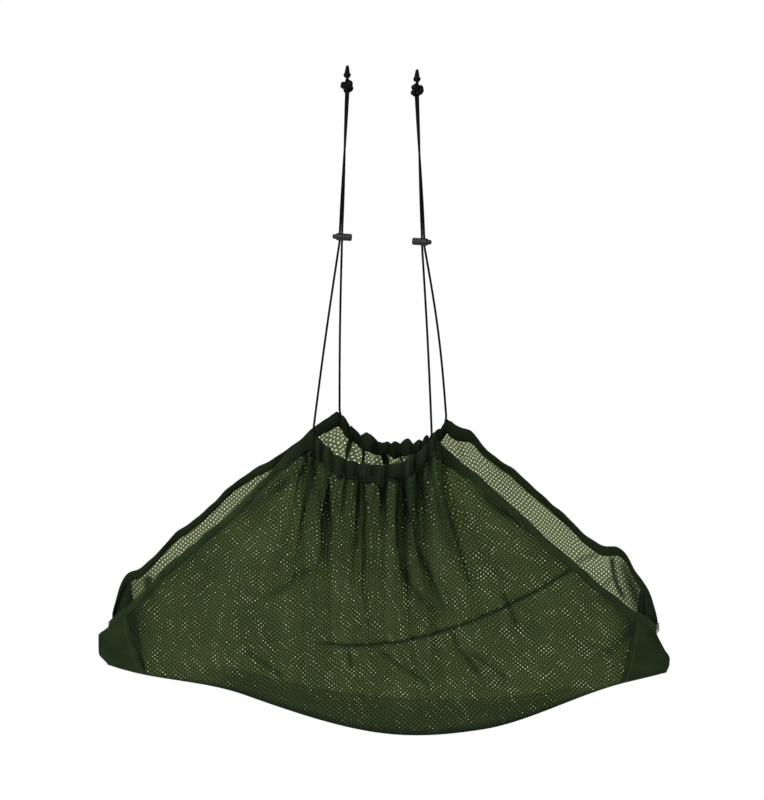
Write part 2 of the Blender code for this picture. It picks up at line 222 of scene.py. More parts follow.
def panel_surface(side, u, v):
    """Smooth mid-surface of a panel: u across, v from the hem (0) to the bottom seam (1)."""
    s = SIDES[side]
    a = np.abs(u)
    neck_x = s["exit_x"] * a / NECK_SHARE
    wing_x = s["exit_x"] + (GUSSET_X - s["exit_x"]) * (a - NECK_SHARE) / (1 - NECK_SHARE)
    top_x = np.sign(u) * np.where(a < NECK_SHARE, neck_x, wing_x)
    top = hem_top(side, top_x)
    top_z = top[..., 2] - hem_height(side, top_x)
    low_x = GUSSET_X * u
    x = top_x + (low_x - top_x) * v
    z = top_z + (bottom_z(low_x) - top_z) * v
    fall = np.cos(np.pi / 2 * np.clip(v, 0, 1))
    belly = BELLY * np.sin(np.pi * np.clip(v, 0, 1)) * np.clip(1 - a * a, 0, 1)
    depth = np.abs(top[..., 1]) * fall + belly
    return np.stack([x, s["sign"] * depth, z], axis=-1)


def fold(phase, sharp=0.85):
    """Rounded crests with narrow valleys between them, from -1 to 1."""
    return 2 * np.abs(np.cos(phase / 2)) ** sharp - 1


def wander(x, seed):
    """Slow irregular wave, about -1 to 1, that keeps repeats from looking even."""
    return (np.sin(x + seed) + 0.6 * np.sin(1.73 * x + 2.1 * seed)
            + 0.4 * np.sin(2.91 * x + 0.7 * seed)) / 2


def pleats(side, u, v, points):
    """How far the cloth stands out from the smooth panel, in metres."""
    s = SIDES[side]
    seed = s["seed"]
    top = panel_surface(side, u, np.zeros_like(v))
    drop = np.hypot(points[..., 0] - top[..., 0], points[..., 2] - top[..., 2])
    across = u / NECK_SHARE
    neck = 1 - smooth((np.abs(across) - 0.9) / 0.7)
    warp = across + 0.05 * wander(7 * across, seed) + 0.02 * wander(19 * across, seed + 2)
    near = 0.0028 * np.exp(-drop / 0.035) * fold(2 * np.pi * 12.5 * warp + seed)
    mid = 0.0052 * np.exp(-drop / 0.10) * fold(2 * np.pi * 6.2 * warp + 2 * seed)
    far = 0.0085 * np.exp(-drop / 0.24) * fold(2 * np.pi * 2.6 * warp + 0.6 * seed, 1.1)
    out = (near + mid + far) * neck * smooth(drop / 0.02 + 0.35)

    for way in (-1, 1):
        dx = way * points[..., 0] - s["exit_x"] * 0.8
        dz = s["exit_z"] - points[..., 2]
        reach = np.hypot(dx, dz)
        angle = np.arctan2(dx, dz)
        wing = smooth(dx / 0.08) * smooth((reach - 0.03) / 0.06)
        bend = angle + 0.05 * wander(12 * reach, seed + way)
        ray = fold(2 * np.pi * 2.7 * bend + seed * way, 1.0)
        fine = fold(2 * np.pi * 6.1 * bend + 3 * seed * way, 1.0)
        out = out + wing * (0.0055 * np.exp(-reach / 0.30) * ray
                            + 0.0022 * np.exp(-reach / 0.16) * fine)

    x = points[..., 0]
    z = points[..., 2]
    slack = 0.0035 * wander(21 * x + 9 * z, seed) * wander(17 * z - 6 * x, seed + 1)
    out = out + slack + 0.0008 * wander(70 * x + 35 * z, seed) * wander(80 * z - 20 * x, seed)
    return out


def fold_over(side, top_x, drop):
    """Sideways and outward shift that lays the cloth over itself in pleats, and how much the cloth is
    drawn closer and darkened with painted shade there.
    """
    aside = np.zeros_like(drop)
    out = np.zeros_like(drop)
    shade_and_folds = np.zeros_like(drop)
    for place, width, strength, reach in FOLDS[side]:
        drift = 0.0035 * wander(26 * drop, 40 * place)
        s = (top_x - place * (1 + 2.2 * drop) - drift) / (width * (1 + 2.0 * drop))
        fade = np.exp(-(drop / reach) ** 2)
        aside -= strength * fade * width * s * np.exp(-s * s)
        out -= 0.0026 * fade * s * np.exp(-s * s / 2)
        # Painted shade and closer cloth along each pleat, just to one side of its middle.
        shade_and_folds += 0.62 * fade * np.exp(-(s - 0.3) ** 2)
    return aside, out, shade_and_folds


def fold_line(x, z, corners, width):
    """How close each point is to a folded line through the corners: 1 on it, fading to its ends."""
    near = np.zeros_like(x)
    spans = [math.dist(a, b) for a, b in zip(corners, corners[1:])]
    run = 0.0
    for (ax, az), (bx, bz), span in zip(corners, corners[1:], spans):
        share = ((x - ax) * (bx - ax) + (z - az) * (bz - az)) / span ** 2
        share = np.clip(share, 0, 1)
        away = np.hypot(x - ax - share * (bx - ax), z - az - share * (bz - az)) / width
        along = (run + share * span) / sum(spans)
        ends = smooth(along / 0.2 + 0.15) * smooth((1 - along) / 0.25)
        near = np.maximum(near, np.exp(-away * away) * ends)
        run += span
    return near


def crease(x, z, line_z, start, end, width):
    """A pressed-in line that follows z = line_z(x) from start to end: 1 on it, 0 away from it."""
    away = (z - line_z) / width
    along = smooth((x - start) / 0.05) * smooth((end - x) / 0.05)
    return along * np.exp(-away * away)


# ---------------------------------------------------------------- mesh helpers
def grid_object(name, points, uv, ring=False):
    """Quad mesh through rows x cols points with a UV layer in metres."""
    rows, cols = points.shape[:2]
    spans = cols if ring else cols - 1
    i, j = np.meshgrid(np.arange(rows - 1), np.arange(spans), indexing="ij")
    i = i.ravel()
    j = j.ravel()
    k = (j + 1) % cols
    quads = np.stack([i * cols + j, (i + 1) * cols + j, (i + 1) * cols + k, i * cols + k], axis=1)
    mesh = bpy.data.meshes.new(name)
    mesh.vertices.add(rows * cols)
    mesh.vertices.foreach_set("co", points.reshape(-1).astype(np.float32))
    mesh.loops.add(quads.size)
    mesh.loops.foreach_set("vertex_index", quads.ravel().astype(np.int32))
    mesh.polygons.add(len(quads))
    mesh.polygons.foreach_set("loop_start", np.arange(0, quads.size, 4, dtype=np.int32))
    mesh.update(calc_edges=True)
    layer = mesh.uv_layers.new(name="cloth")
    step_i = np.stack([i, i + 1, i + 1, i], axis=1)
    step_j = np.stack([j, j, j + 1, j + 1], axis=1)
    if ring:
        uv = np.concatenate([uv, uv[:, :1] + [[[0, uv[0, 1, 1] * cols]]]], axis=1)
    layer.data.foreach_set("uv", uv[step_i, step_j].reshape(-1).astype(np.float32))
    mesh.shade_smooth()
    obj = bpy.data.objects.new(name, mesh)
    bpy.context.scene.collection.objects.link(obj)
    return obj


def sweep(name, path, radii, sides, caps=True):
    """Round tube along path, with UVs in metres along and around."""
    path = np.asarray(path, float)
    radii = np.broadcast_to(np.asarray(radii, float), (len(path),))
    ahead = np.gradient(path, axis=0)
    ahead /= np.linalg.norm(ahead, axis=1)[:, None]
    across = np.cross(ahead[0], [0.31, 0.83, 0.46])
    points = []
    turns = 2 * np.pi * np.arange(sides) / sides
    for p, t, r in zip(path, ahead, radii):
        across = across - t * across.dot(t)
        across /= np.linalg.norm(across)
        other = np.cross(t, across)
        points.append(p + r * (np.outer(np.cos(turns), across) + np.outer(np.sin(turns), other)))
    length = np.concatenate([[0], np.cumsum(np.linalg.norm(np.diff(path, axis=0), axis=1))])
    around = np.arange(sides) * (2 * np.pi * radii.max() / sides)
    uv = np.stack(np.meshgrid(length, around, indexing="ij"), axis=-1)
    obj = grid_object(name, np.array(points), uv, ring=True)
    if caps:
        bm = bmesh.new()
        bm.from_mesh(obj.data)
        bmesh.ops.holes_fill(bm, edges=[e for e in bm.edges if e.is_boundary], sides=0)
        bmesh.ops.recalc_face_normals(bm, faces=bm.faces)
        bm.to_mesh(obj.data)
        bm.free()
    return obj


def soften(points, rounds):
    """Cut the corners of a polyline so that a cord bends and doesn't kink."""
    points = np.asarray(points, float)
    for _ in range(rounds):
        near = 0.75 * points[:-1] + 0.25 * points[1:]
        far = 0.25 * points[:-1] + 0.75 * points[1:]
        middle = np.stack([near, far], axis=1).reshape(-1, 3)
        points = np.concatenate([points[:1], middle, points[-1:]])
    return points


def join(name, parts):
    """Join mesh objects into the first one."""
    bm = bmesh.new()
    for part in parts:
        part.data.transform(part.matrix_world)
        bm.from_mesh(part.data)
    mesh = parts[0].data.copy()
    bm.to_mesh(mesh)
    bm.free()
    obj = bpy.data.objects.new(name, mesh)
    bpy.context.scene.collection.objects.link(obj)
    for part in parts:
        bpy.data.objects.remove(part)
    return obj


# ---------------------------------------------------------------- materials
class Nodes:
    """Small helper that builds a node tree from short calls."""

    def __init__(self, name):
        self.material = bpy.data.materials.new(name)
        self.material.use_nodes = True
        self.tree = self.material.node_tree
        self.surface = self.tree.nodes["Principled BSDF"]
        self.output = self.tree.nodes["Material Output"]

    def add(self, kind, **settings):
        node = self.tree.nodes.new(kind)
        for key, value in settings.items():
            setattr(node, key, value)
        return node

    def link(self, a, b):
        self.tree.links.new(a, b)

    def math(self, operation, a, b=None, c=None):
        node = self.add("ShaderNodeMath", operation=operation)
        for socket, value in zip(node.inputs, (a, b, c)):
            if value is None:
                continue
            if isinstance(value, (int, float)):
                socket.default_value = value
            else:
                self.link(value, socket)
        return node.outputs[0]

    def cloth_uv(self, layer="cloth"):
        """A UV layer's vector, and its parts one by one."""
        uv = self.add("ShaderNodeUVMap", uv_map=layer).outputs["UV"]
        split = self.add("ShaderNodeSeparateXYZ")
        self.link(uv, split.inputs[0])
        return uv, split.outputs

    def mix_colour(self, factor, colour, other):
        """Colour that turns into the other, fixed one as the factor rises."""
        node = self.add("ShaderNodeMix", data_type="RGBA")
        self.link(factor, node.inputs["Factor"])
        self.link(colour, node.inputs[6])
        node.inputs[7].default_value = (*other, 1)
        return node.outputs[2]

    def noise(self, scale, detail=2.0, vector=None):
        node = self.add("ShaderNodeTexNoise")
        node.inputs["Scale"].default_value = scale
        node.inputs["Detail"].default_value = detail
        if vector is not None:
            self.link(vector, node.inputs["Vector"])
        return node.outputs["Fac"]

    def ramp(self, value, low, high, at=(0.3, 0.7)):
        node = self.add("ShaderNodeValToRGB")
        node.color_ramp.elements[0].position = at[0]
        node.color_ramp.elements[1].position = at[1]
        node.color_ramp.elements[0].color = (*low, 1)
        node.color_ramp.elements[1].color = (*high, 1)
        self.link(value, node.inputs["Fac"])
        return node.outputs["Color"]

    def bump(self, height, strength, distance):
        node = self.add("ShaderNodeBump")
        node.inputs["Strength"].default_value = strength
        node.inputs["Distance"].default_value = distance
        self.link(height, node.inputs["Height"])
        self.link(node.outputs["Normal"], self.surface.inputs["Normal"])
        return node.outputs["Normal"]


HOLE_ACROSS = 0.0070
HOLE_DOWN = 0.0058
HOLE_RADIUS = 0.00084
YARN = 0.0007


def hole_distance(n, across, down):
    """Distance in metres to the nearest of the staggered holes, from counts of holes across and down."""
    def to_centre(offset):
        dx = n.math("SUBTRACT", n.math("FRACT", n.math("ADD", across, offset)), 0.5)
        dy = n.math("SUBTRACT", n.math("FRACT", n.math("ADD", down, offset)), 0.5)
        dx = n.math("MULTIPLY", dx, HOLE_ACROSS)
        dy = n.math("MULTIPLY", dy, HOLE_DOWN * 0.86)
        return n.math("SQRT", n.math("ADD", n.math("MULTIPLY", dx, dx), n.math("MULTIPLY", dy, dy)))

    return n.math("MINIMUM", to_centre(0.0), to_centre(0.5))


def net_material():
    """Warp-knit mesh: staggered round holes, knitted yarn between them, light through the yarn."""
    n = Nodes("mesh_net")
    uv, split = n.cloth_uv()
    shade_and_folds = n.cloth_uv("density")[1][0]
    wobble = n.math("MULTIPLY", n.math("SUBTRACT", n.noise(24.0, 2.0, uv), 0.5), 0.012)
    lean = n.math("MULTIPLY", n.math("SUBTRACT", n.noise(31.0, 2.0, uv), 0.5), 0.010)
    across = n.math("DIVIDE", n.math("ADD", split[0], wobble), HOLE_ACROSS)
    down = n.math("DIVIDE", n.math("ADD", split[1], lean), HOLE_DOWN)
    distance = hole_distance(n, across, down)
    shut = n.math("SUBTRACT", HOLE_RADIUS, n.math("MULTIPLY", shade_and_folds, HOLE_RADIUS * 0.75))
    solid = n.math("GREATER_THAN", distance, shut)
    rim = n.math("SUBTRACT", 1.0, n.math("MULTIPLY", n.math("SUBTRACT", distance, HOLE_RADIUS), 900.0))
    rim = n.math("MAXIMUM", rim, 0.0)
    rows = n.math("SINE", n.math("MULTIPLY", split[0], 2 * math.pi / YARN))
    loops = n.math("SINE", n.math("MULTIPLY", split[1], 2 * math.pi / YARN * 1.3))
    knit = n.math("MULTIPLY", n.math("ADD", rows, n.math("MULTIPLY", rows, loops)), 0.25)
    height = n.math("SUBTRACT", knit, n.math("MULTIPLY", rim, 0.6))
    n.bump(height, 0.6, 0.0004)

    tone = n.noise(14.0, 3.0, uv)
    colour = n.ramp(tone, NET_DARK, NET_LIGHT)
    # Painted shade: the yarn darkens towards a shaded green where the cloth is folded, creased or
    # hollow; the same value also closes the holes and lets less light through.
    colour = n.mix_colour(n.math("MULTIPLY", shade_and_folds, 0.9), colour, NET_FOLD_SHADE)
    n.link(colour, n.surface.inputs["Base Color"])
    n.surface.inputs["Roughness"].default_value = 0.82
    n.surface.inputs["Specular IOR Level"].default_value = 0.04

    through = n.add("ShaderNodeBsdfTransparent")
    n.link(n.ramp(tone, NET_THROUGH_DARK, NET_THROUGH_LIGHT), through.inputs["Color"])
    cloth = n.add("ShaderNodeMixShader")
    n.link(n.math("SUBTRACT", NET_OPEN, n.math("MULTIPLY", shade_and_folds, NET_OPEN * 0.92)), cloth.inputs[0])
    n.link(n.surface.outputs[0], cloth.inputs[1])
    n.link(through.outputs[0], cloth.inputs[2])
    clear = n.add("ShaderNodeBsdfTransparent")
    clear.inputs["Color"].default_value = (*HOLE_VEIL, 1)
    holes = n.add("ShaderNodeMixShader")
    n.link(solid, holes.inputs[0])
    n.link(clear.outputs[0], holes.inputs[1])
    n.link(cloth.outputs[0], holes.inputs[2])
    n.link(holes.outputs[0], n.output.inputs["Surface"])
    return n.material


def woven_material(name, dark, light, stitches=(), gathered=False):
    """Plain woven polyester, with rows of stitching at the given distances across the cloth."""
    n = Nodes(name)
    uv, split = n.cloth_uv()
    thread = 2 * math.pi / 0.00055
    warp = n.math("SINE", n.math("MULTIPLY", split[0], thread))
    weft = n.math("SINE", n.math("MULTIPLY", split[1], thread))
    weave = n.math("MULTIPLY", n.math("MULTIPLY", warp, weft), 0.5)
    rumple = n.noise(90.0, 3.0, uv)
    height = n.math("ADD", n.math("MULTIPLY", weave, 0.35), n.math("MULTIPLY", rumple, 1.6))
    tone = n.noise(35.0, 3.0, uv)
    colour = n.ramp(tone, dark, light)
    for place in stitches:
        away = n.math("ABSOLUTE", n.math("SUBTRACT", split[1], place))
        on_line = n.math("LESS_THAN", away, 0.0004)
        dash = n.math("LESS_THAN", n.math("FRACT", n.math("DIVIDE", split[0], 0.003)), 0.72)
        stitch = n.math("MULTIPLY", on_line, dash)
        colour = n.mix_colour(stitch, colour, (light[0] * 1.9, light[1] * 1.7, light[2] * 1.9))
        height = n.math("ADD", height, n.math("MULTIPLY", stitch, 0.9))
    if gathered:
        # Painted light: lighter spots where the holes of the gathered net would let light through.
        across = n.math("DIVIDE", split[0], HOLE_ACROSS)
        down = n.math("DIVIDE", split[1], HOLE_DOWN)
        hole = n.math("LESS_THAN", hole_distance(n, across, down), HOLE_RADIUS * 0.8)
        hole_light = n.math("MULTIPLY", hole, n.math("MULTIPLY", tone, 0.6))
        colour = n.mix_colour(hole_light, colour, HEM_HOLE_LIGHT)
        # Painted shade: the hem cloth darkens towards a shaded green by its stored shade value.
        folded = n.math("MULTIPLY", n.cloth_uv("density")[1][0], 0.9)
        colour = n.mix_colour(folded, colour, (dark[0] * 0.22, dark[1] * 0.22, dark[2] * 0.26))
    n.bump(height, 0.5, 0.0005)
    n.link(colour, n.surface.inputs["Base Color"])
    n.surface.inputs["Roughness"].default_value = 0.86
    n.surface.inputs["Specular IOR Level"].default_value = 0.05
    return n.material


def cord_material():
    """Tightly braided black polyester cord."""
    n = Nodes("cord_braid")
    _, split = n.cloth_uv()
    along = n.math("MULTIPLY", split[0], 2 * math.pi / 0.0024)
    around = n.math("MULTIPLY", split[1], 4 / CORD_R)
    one = n.math("SINE", n.math("ADD", along, around))
    two = n.math("SINE", n.math("SUBTRACT", along, around))
    braid = n.math("MAXIMUM", one, two)
    fuzz = n.noise(900.0, 2.0)
    n.bump(n.math("ADD", braid, n.math("MULTIPLY", fuzz, 0.4)), 0.7, 0.0002)
    n.link(n.ramp(braid, CORD_DARK, CORD_LIGHT, (0.0, 1.0)), n.surface.inputs["Base Color"])
    n.surface.inputs["Roughness"].default_value = 0.68
    n.surface.inputs["Specular IOR Level"].default_value = 0.06
    return n.material


def plastic_material():
    """Moulded dark acetal with a faint mould texture."""
    n = Nodes("lock_plastic")
    coarse = n.noise(420.0, 4.0)
    fine = n.noise(2600.0, 2.0)
    n.bump(n.math("ADD", coarse, n.math("MULTIPLY", fine, 0.4)), 0.12, 0.0002)
    n.link(n.ramp(coarse, (0.0042, 0.0042, 0.0046), (0.0085, 0.0085, 0.0090)),
           n.surface.inputs["Base Color"])
    rough = n.add("ShaderNodeMapRange")
    n.link(coarse, rough.inputs["Value"])
    rough.inputs["To Min"].default_value = 0.42
    rough.inputs["To Max"].default_value = 0.58
    n.surface.inputs["Specular IOR Level"].default_value = 0.28
    n.link(rough.outputs[0], n.surface.inputs["Roughness"])
    return n.material


def steel_material():
    """Bright spring wire."""
    n = Nodes("spring_steel")
    grain = n.noise(1800.0, 2.0)
    n.link(n.ramp(grain, (0.42, 0.42, 0.43), (0.60, 0.60, 0.61)), n.surface.inputs["Base Color"])
    n.surface.inputs["Metallic"].default_value = 1.0
    n.surface.inputs["Roughness"].default_value = 0.28
    n.bump(grain, 0.1, 0.0001)
    return n.material


def thread_material():
    """Twisted pale sewing thread."""
    n = Nodes("tack_thread")
    _, split = n.cloth_uv()
    twist = n.math("SINE", n.math("MULTIPLY", n.math("ADD", split[0], split[1]),
                                  2 * math.pi / 0.0009))
    n.bump(twist, 0.6, 0.0001)
    n.link(n.ramp(twist, (0.06, 0.07, 0.05), (0.20, 0.21, 0.17), (0.0, 1.0)),
           n.surface.inputs["Base Color"])
    n.surface.inputs["Roughness"].default_value = 0.7
    return n.material


NET_DARK = (0.0135, 0.0225, 0.0090)
NET_LIGHT = (0.0240, 0.0385, 0.0140)
NET_FOLD_SHADE = (0.0078, 0.0145, 0.0078)
NET_THROUGH_DARK = (0.46, 0.54, 0.24)
NET_THROUGH_LIGHT = (0.60, 0.68, 0.31)
NET_OPEN = 0.185
HOLE_VEIL = (0.80, 0.84, 0.66)
HEM_DARK = (0.0185, 0.0300, 0.0115)
HEM_LIGHT = (0.0300, 0.0460, 0.0170)
HEM_HOLE_LIGHT = (0.070, 0.090, 0.042)
PATCH_DARK = (0.0105, 0.0185, 0.0075)
PATCH_LIGHT = (0.0165, 0.0280, 0.0105)
CORD_DARK = (0.0028, 0.0028, 0.0032)
CORD_LIGHT = (0.0070, 0.0066, 0.0070)

NET = net_material()
HEM_CLOTH = woven_material("hem_cloth", HEM_DARK, HEM_LIGHT, (0.0215, 0.0245), gathered=True)
GUSSET_CLOTH = woven_material("gusset_cloth", PATCH_DARK, PATCH_LIGHT, (0.004,))
CORD = cord_material()
PLASTIC = plastic_material()
STEEL = steel_material()
THREAD = thread_material()


def dress(obj, material):
    """Give a piece its only material."""
    obj.data.materials.clear()
    obj.data.materials.append(material)
    return obj


# ---------------------------------------------------------------- net panels
def add_fold_shade(obj, shade_and_folds):
    """Keep how folded the cloth is and how much painted shade darkens it at each point, for its
    material.
    """
    layer = obj.data.uv_layers.new(name="density")
    corner = np.empty(len(obj.data.loops), np.int32)
    obj.data.loops.foreach_get("vertex_index", corner)
    value = np.clip(shade_and_folds.reshape(-1), 0, 1)[corner]
    layer.data.foreach_set("uv", np.stack([value, value], axis=1).reshape(-1).astype(np.float32))


def build_panel(side):
    """One side's net: folds and creases laid on the smooth panel, drawn closer and darkened with painted
    shade where it is gathered, folded or creased.
    """
    across, down = NET_CELLS
    sign = SIDES[side]["sign"]
    even = np.linspace(-1.0, 1.0, across + 1)
    u = 0.62 * even + 0.38 * even ** 3
    v = np.linspace(-0.02, 1.0, down + 1)
    uu, vv = np.meshgrid(u, v, indexing="ij")
    base = panel_surface(side, uu, vv)
    stand = pleats(side, uu, vv, base)
    x = base[..., 0]
    z = base[..., 2]
    top = panel_surface(side, uu, np.zeros_like(vv))
    drop = np.hypot(x - top[..., 0], z - top[..., 2])
    aside, out, shade_and_folds = fold_over(side, top[..., 0], drop)
    stand = stand + out
    if side == "front":
        # Painted shade on the front net's left half.
        shade_and_folds = shade_and_folds + LEFT_SHADE * smooth((-x - 0.03) / 0.10)
        # Painted shade along the upper and lower creases, which also dip the cloth in.
        upper = crease(x, z, -0.755 + 1.05 * (x + 0.075) ** 2, -0.10, 0.31, 0.0030)
        lower_z = -0.832 + 0.45 * (x - 0.02) ** 2
        lower = crease(x, z, lower_z, -0.24, 0.30, 0.0030)
        stand = stand - 0.0032 * upper - 0.0022 * lower
        shade_and_folds = shade_and_folds + upper + 0.45 * lower
        # Below the lower crease the cloth folds under itself: drawn closer there, and darkened with
        # painted shade.
        shade_and_folds = shade_and_folds + 0.50 * smooth((lower_z - z) / 0.008) * smooth((0.30 - np.abs(x - 0.02)) / 0.1)
    # Each long crease dips the cloth and darkens it with painted shade.
    for corners, width, dark in CREASES[side]:
        line = fold_line(x, z, corners, width)
        stand = stand - 0.0025 * line
        shade_and_folds = shade_and_folds + dark * line
    # Painted shade in the hollows between the pleats, fading down the cloth.
    hollow_shade = np.clip(-stand / 0.007, 0, 1) * np.exp(-drop / 0.20)
    # Painted shade under the hem: round the gathered neck, where the cloth also bunches, and in a narrow
    # band just under the wing hems; the back net keeps only a share of it.
    neck_bunch_shade = np.exp(-(drop / 0.10) ** 2) * (1 - smooth((np.abs(top[..., 0]) - 0.07) / 0.04))
    wing_hem_shade = np.exp(-(drop / 0.018) ** 2) * smooth((np.abs(top[..., 0]) - 0.08) / 0.04)
    gathered = 0.20 * neck_bunch_shade + 0.30 * wing_hem_shade
    shade_and_folds = shade_and_folds + gathered * (1.0 if side == "front" else BACK_HEM_SHADE) + 0.5 * hollow_shade
    # Drawn closer and darker towards the bottom seam and the side edges.
    shade_and_folds = shade_and_folds + 0.25 * smooth((vv - 0.965) / 0.02)
    shade_and_folds = shade_and_folds + 0.6 * smooth((vv - 0.986) / 0.008)
    shade_and_folds = shade_and_folds + 0.5 * smooth((np.abs(uu) - 0.88) / 0.12)
    seam = 1 - smooth((vv - 0.80) / 0.2)
    edge = 1 - smooth((np.abs(uu) - 0.93) / 0.07)
    room = np.abs(base[..., 1])
    stand = np.maximum(stand * seam * edge, -0.8 * room)
    points = base.copy()
    points[..., 0] += aside
    points[..., 1] += sign * stand
    grain = GRAIN[side]
    flat_x = uu * GUSSET_X * 1.06
    uv = np.stack([flat_x * math.cos(grain) - z * math.sin(grain),
                   -z * math.cos(grain) - flat_x * math.sin(grain)], axis=-1)
    panel = grid_object(side + "_net", points, uv)
    add_fold_shade(panel, shade_and_folds)
    dress(panel, NET)
    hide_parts(side + "_panel")
    return panel


# ---------------------------------------------------------------- hems
def hem_widths(side, count):
    """Stations along a hem, evenly spaced along its edge."""
    x = np.linspace(-JOIN_X, JOIN_X, 4001)
    edge = hem_top(side, x)
    run = np.concatenate([[0], np.cumsum(np.linalg.norm(np.diff(edge, axis=0), axis=1))])
    even = np.linspace(0, run[-1], count)
    return np.interp(even, run, x), even


def gathers(run, narrow, wide, seed):
    """Irregular puffs of gathered cloth: crest height 0 to 1, and three random offsets each."""
    rng = np.random.RandomState(seed)
    ends = np.concatenate([[0], np.cumsum(rng.uniform(narrow, wide, 400))])
    index = np.searchsorted(ends, run, side="right") - 1
    share = (run - ends[index]) / (ends[index + 1] - ends[index])
    crest = np.sin(np.pi * share) ** 0.55
    size = rng.uniform(0.45, 1.15, 401)[index]
    offsets = rng.uniform(-1, 1, (3, 401))[:, index] * np.sin(np.pi * share) ** 1.5
    return crest * size, offsets


def build_hem(side):
    """Casing with a ring of points at each station: puffed round the neck, rolled on the wings."""
    s = SIDES[side]
    seed = s["seed"]
    count, ring = HEM_CELLS
    x, run = hem_widths(side, count)
    edge = hem_top(side, x)
    step = 0.0006
    along = hem_top(side, x + step) - hem_top(side, x - step)
    across = np.stack([-along[:, 1], along[:, 0], np.zeros(count)], axis=1)
    across /= np.linalg.norm(across, axis=1)[:, None]
    a = np.abs(x)
    neck = 1 - smooth((a - s["exit_x"]) / 0.03)
    gather = 1 - smooth((a - s["exit_x"] * 0.86) / 0.03)
    half = (WING_THICK + (NECK_THICK - WING_THICK) * neck) / 2

    big, (rise, sink, side_way) = gathers(run, 0.010, 0.026, int(seed * 10))
    small, (rise_2, sink_2, _) = gathers(run, 0.0045, 0.0095, int(seed * 10) + 1)
    puff = 1 + gather * (0.85 * big + 0.20 * small - 0.68)
    ruffle = 1.35 if side == "back" else 0.8
    top_rise = gather * ruffle * (0.0042 * big - 0.0026 + 0.0024 * rise + 0.0014 * rise_2)
    sway = gather * 0.0034 * side_way
    low_rise = gather * (0.0034 * sink + 0.0012 * sink_2 - 0.0016 * big)
    wave = (1 - gather) * 0.0022 * wander(run * 55, seed + 2)
    roll = (1 - gather) * 0.0013 * wander(run * 74, seed + 5)
    if side == "back":
        wave = wave * 1.6
        roll = roll * 1.5
    turn = 2 * np.pi * np.arange(ring) / ring
    n = np.sin(turn)
    d = (1 - np.cos(turn)) / 2
    n = np.sign(n) * np.abs(n) ** 0.75
    top = edge[:, 2] + top_rise + roll
    low = edge[:, 2] - hem_height(side, x) - 0.001 + low_rise + 0.5 * roll
    points = np.empty((count, ring, 3))
    wide = n[None, :] * (half * puff)[:, None]
    belly = 1 + 0.25 * gather[:, None] * np.sin(np.pi * d)[None, :] * wander(run * 210, seed)[:, None]
    shift = (sway[:, None] * (0.4 + d[None, :]) + wave[:, None] * (d[None, :] - 0.2))
    for axis in (0, 1):
        points[..., axis] = edge[:, None, axis] + across[:, None, axis] * (wide * belly + shift)
    points[..., 2] = top[:, None] + (low - top)[:, None] * d[None, :]
    around = np.arange(ring) * (2 * s["neck_height"] / ring)
    uv = np.stack(np.meshgrid(run, around, indexing="ij"), axis=-1)
    hem = grid_object(side + "_hem_casing", points, uv, ring=True)
    # Painted shade on the hem cloth: dark in the pinches between the puffs round the neck; on the wings
    # it is darker all along, more on the back hem and towards the neck.
    hem_shade = gather * (0.65 + 0.6 * (1 - np.clip(big, 0, 1)) + 0.2 * (1 - np.clip(small, 0, 1)))
    plain = 0.80 if side == "back" else 0.45
    near_neck = 1 - smooth((a - s["exit_x"]) / 0.09)
    hem_shade = hem_shade + (1 - gather) * (plain + (0.95 - plain) * near_neck)
    add_fold_shade(hem, np.repeat(hem_shade[:, None], ring, axis=1))
    dress(hem, HEM_CLOTH)
    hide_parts(side + "_hem")
    return hem


# ---------------------------------------------------------------- corners
def build_gusset(label, way):
    """Plain cloth patch folded round a lower corner, from the front net to the back net."""
    turns, down = PATCH_CELLS
    angle = np.linspace(-np.pi / 2, np.pi / 2, turns + 1)
    v = np.linspace(0, 1, down + 1)
    aa, vv = np.meshgrid(angle, v, indexing="ij")
    narrow = 1 - CORNER_START[way] * smooth((CORNER_FULL[way] - vv) / CORNER_FULL[way])
    narrow = narrow - CORNER_ROUND[way] * smooth((vv - 0.75) / 0.25) ** 2
    inner = GUSSET_X - 0.005 - PATCH_SLANT * vv ** 1.5
    x = inner + (CORNER_X - inner) * narrow * np.cos(aa)
    front = panel_surface("front", way * inner / GUSSET_X, vv)
    back = panel_surface("back", way * inner / GUSSET_X, vv)
    share = (1 + np.sin(aa)) / 2
    y = front[..., 1] + (back[..., 1] - front[..., 1]) * share
    hem_x = way * np.minimum(x, JOIN_X)
    front_top = hem_top("front", hem_x)[..., 2] - hem_height("front", hem_x)
    back_top = hem_top("back", hem_x)[..., 2] - hem_height("back", hem_x)
    top = np.where(aa < 0, front_top, back_top)
    top = np.where(x >= JOIN_X, np.minimum(front_top, back_top), top) + 0.004
    z = top + (bottom_z(way * x) - top) * vv
    rumple = 0.0016 * wander(90 * z + 60 * x, way) * wander(50 * x - 120 * z, 2 + way)
    y = y + np.sin(aa) * (0.0012 + rumple) * (1 - smooth((vv - 0.9) / 0.1))
    x = x + np.cos(aa) * rumple
    points = np.stack([way * x, y, z], axis=-1)
    uv = np.stack([-z, (aa + np.pi / 2) * 0.03], axis=-1)
    if way > 0:
        points = points[::-1]
        uv = uv[::-1]
    gusset = grid_object(label + "_corner_patch", points, uv)
    dress(gusset, GUSSET_CLOTH)
    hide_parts(label + "_gusset")
    return gusset


